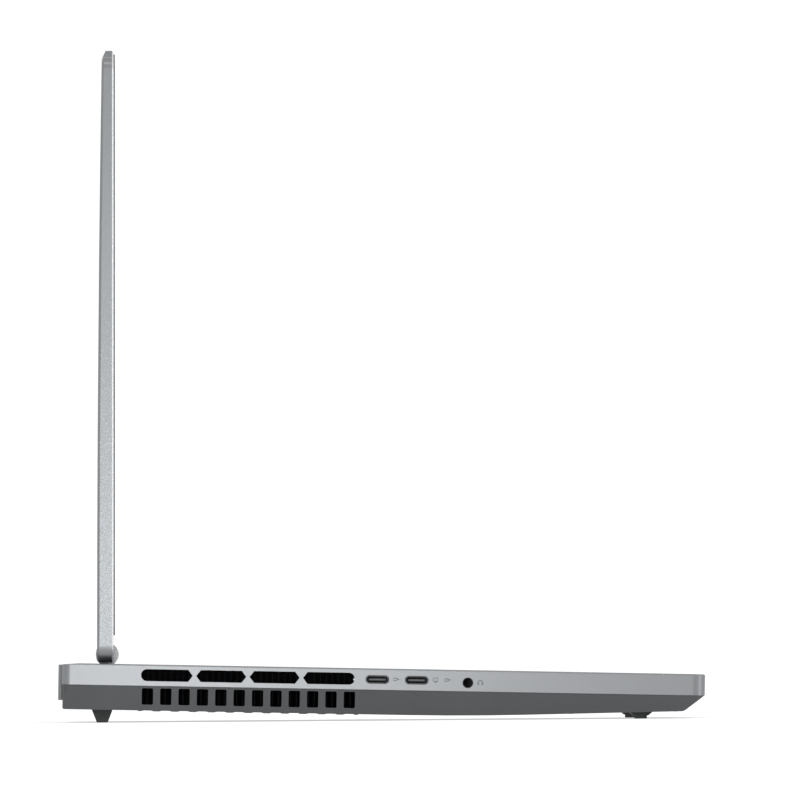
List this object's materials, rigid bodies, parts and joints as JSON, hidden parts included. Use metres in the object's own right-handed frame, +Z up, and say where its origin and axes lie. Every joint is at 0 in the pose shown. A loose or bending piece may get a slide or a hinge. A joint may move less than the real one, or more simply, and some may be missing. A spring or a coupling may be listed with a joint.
{
  "type": "laptop computer",
  "caption": "Portable computer with a hinged screen, full keyboard with number pad, touchpad, vented sides, and sockets on the sides and rear.",
  "frame": {"origin": "middle of the base's footprint, on the table top", "axes": "+X to the user's right, +Y to the rear, where the hinge is, +Z up"},
  "size_m": [0.3596, 0.2603, 0.2723],
  "materials": {
    "dark_plastic": "matte",
    "key_plastic": "satin",
    "bottom_plastic": "matte",
    "steel": "satin",
    "deck_metal": "satin",
    "housing_plastic": "satin",
    "foot_rubber": "matte",
    "pipe_copper": "satin",
    "fin_aluminium": "satin",
    "cap_plastic": "satin",
    "grid_plastic": "matte",
    "lid_metal": "satin",
    "board_laminate": "matte",
    "bezel_plastic": "satin",
    "gasket_rubber": "matte",
    "screen_glass": "matte",
    "pad_glass": "satin"
  },
  "bodies": {
    "base": {"audio_socket": "dark_plastic", "battery_pack": "dark_plastic", "bottom_cover": "bottom_plastic", "card_reader": "steel", "cover_screws": "steel", "deck_cover": "deck_metal", "exhaust_grilles": "housing_plastic", "expansion_cards": "dark_plastic", "front_feet": "foot_rubber", "heat_pipes": "pipe_copper", "heat_spreader": "fin_aluminium", "intake_mesh": "steel", "keyboard_grid": "grid_plastic", "keyboard_plate": "steel", "left_fan_housing": "dark_plastic", "left_hinge_bracket": "steel", "left_side_fins": "fin_aluminium", "mainboard": "board_laminate", "memory_modules": "dark_plastic", "network_socket": "steel", "power_socket": "dark_plastic", "processor_chips": "dark_plastic", "rear_fins": "fin_aluminium", "rear_foot": "foot_rubber", "rear_port_housing": "housing_plastic", "right_fan_housing": "dark_plastic", "right_hinge_bracket": "steel", "right_side_fins": "fin_aluminium", "screw_posts": "steel", "side_boards": "board_laminate", "speakers": "dark_plastic", "touchpad_tray": "steel", "usb_a_sockets": "steel", "usb_c_sockets": "steel", "video_socket": "steel"},
    "lid": {"lid_cover": "lid_metal", "screen_bezel": "bezel_plastic", "screen_panel": "screen_glass", "screen_gasket": "gasket_rubber", "camera_module": "dark_plastic", "antennas": "dark_plastic", "hinge_caps": "cap_plastic", "left_hinge_arm": "steel", "right_hinge_arm": "steel", "hinge_pins": "steel"},
    "function_keys_body": {"function_keys": "key_plastic"},
    "number_keys_body": {"number_keys": "key_plastic"},
    "upper_letter_keys_body": {"upper_letter_keys": "key_plastic"},
    "home_letter_keys_body": {"home_letter_keys": "key_plastic"},
    "lower_letter_keys_body": {"lower_letter_keys": "key_plastic"},
    "modifier_keys_body": {"modifier_keys": "key_plastic"},
    "space_bar_body": {"space_bar": "key_plastic"},
    "arrow_keys_body": {"arrow_keys": "key_plastic"},
    "keypad_keys_body": {"keypad_keys": "key_plastic"},
    "enter_key_body": {"enter_key": "key_plastic"},
    "left_impeller_body": {"left_impeller": "dark_plastic"},
    "right_impeller_body": {"right_impeller": "dark_plastic"},
    "power_button_body": {"power_button": "dark_plastic"},
    "touchpad_body": {"touchpad": "pad_glass"},
    "shutter_switch_body": {"shutter_switch": "dark_plastic"}
  },
  "joints": [
    {"name": "lid_hinge", "type": "hinge", "parent": "base", "child": "lid", "pos_m": [0, 0.11027, 0.02742], "axis": [-1, 0, 0], "range_deg": [-91.1, 80]},
    {"name": "function_keys_press", "type": "slide", "parent": "base", "child": "function_keys_body", "axis": [0, 0.025, -0.9997], "range_m": [0, 0.0013], "stiffness_N_per_m": 500, "springref_m": -0.0008},
    {"name": "number_keys_press", "type": "slide", "parent": "base", "child": "number_keys_body", "axis": [0, 0.025, -0.9997], "range_m": [0, 0.0013], "stiffness_N_per_m": 500, "springref_m": -0.0008},
    {"name": "upper_letter_keys_press", "type": "slide", "parent": "base", "child": "upper_letter_keys_body", "axis": [0, 0.025, -0.9997], "range_m": [0, 0.0013], "stiffness_N_per_m": 500, "springref_m": -0.0008},
    {"name": "home_letter_keys_press", "type": "slide", "parent": "base", "child": "home_letter_keys_body", "axis": [0, 0.025, -0.9997], "range_m": [0, 0.0013], "stiffness_N_per_m": 500, "springref_m": -0.0008},
    {"name": "lower_letter_keys_press", "type": "slide", "parent": "base", "child": "lower_letter_keys_body", "axis": [0, 0.025, -0.9997], "range_m": [0, 0.0013], "stiffness_N_per_m": 500, "springref_m": -0.0008},
    {"name": "modifier_keys_press", "type": "slide", "parent": "base", "child": "modifier_keys_body", "axis": [0, 0.025, -0.9997], "range_m": [0, 0.0013], "stiffness_N_per_m": 500, "springref_m": -0.0008},
    {"name": "space_bar_press", "type": "slide", "parent": "base", "child": "space_bar_body", "axis": [0, 0.025, -0.9997], "range_m": [0, 0.0013], "stiffness_N_per_m": 500, "springref_m": -0.0008},
    {"name": "arrow_keys_press", "type": "slide", "parent": "base", "child": "arrow_keys_body", "axis": [0, 0.025, -0.9997], "range_m": [0, 0.0013], "stiffness_N_per_m": 500, "springref_m": -0.0008},
    {"name": "keypad_keys_press", "type": "slide", "parent": "base", "child": "keypad_keys_body", "axis": [0, 0.025, -0.9997], "range_m": [0, 0.0013], "stiffness_N_per_m": 500, "springref_m": -0.0008},
    {"name": "enter_key_press", "type": "slide", "parent": "base", "child": "enter_key_body", "axis": [0, 0.025, -0.9997], "range_m": [0, 0.0013], "stiffness_N_per_m": 500, "springref_m": -0.0008},
    {"name": "left_fan_spin", "type": "hinge", "parent": "base", "child": "left_impeller_body", "pos_m": [-0.118, 0.06324, 0.01195], "axis": [0, -0.025, 0.9997], "continuous": true},
    {"name": "right_fan_spin", "type": "hinge", "parent": "base", "child": "right_impeller_body", "pos_m": [0.118, 0.06324, 0.01195], "axis": [0, -0.025, 0.9997], "continuous": true},
    {"name": "power_press", "type": "slide", "parent": "base", "child": "power_button_body", "axis": [0, 0.025, -0.9997], "range_m": [0, 0.0005], "stiffness_N_per_m": 1500, "springref_m": -0.0003},
    {"name": "touchpad_click", "type": "hinge", "parent": "base", "child": "touchpad_body", "pos_m": [-0.03225, -0.03965, 0.01838], "axis": [1, 0, 0], "range_deg": [0, 0.35], "stiffness_Nm_per_rad": 10, "springref_deg": -0.34},
    {"name": "shutter_slide", "type": "slide", "parent": "base", "child": "shutter_switch_body", "axis": [0, -0.9997, -0.025], "range_m": [0, 0.0024]}
  ]
}
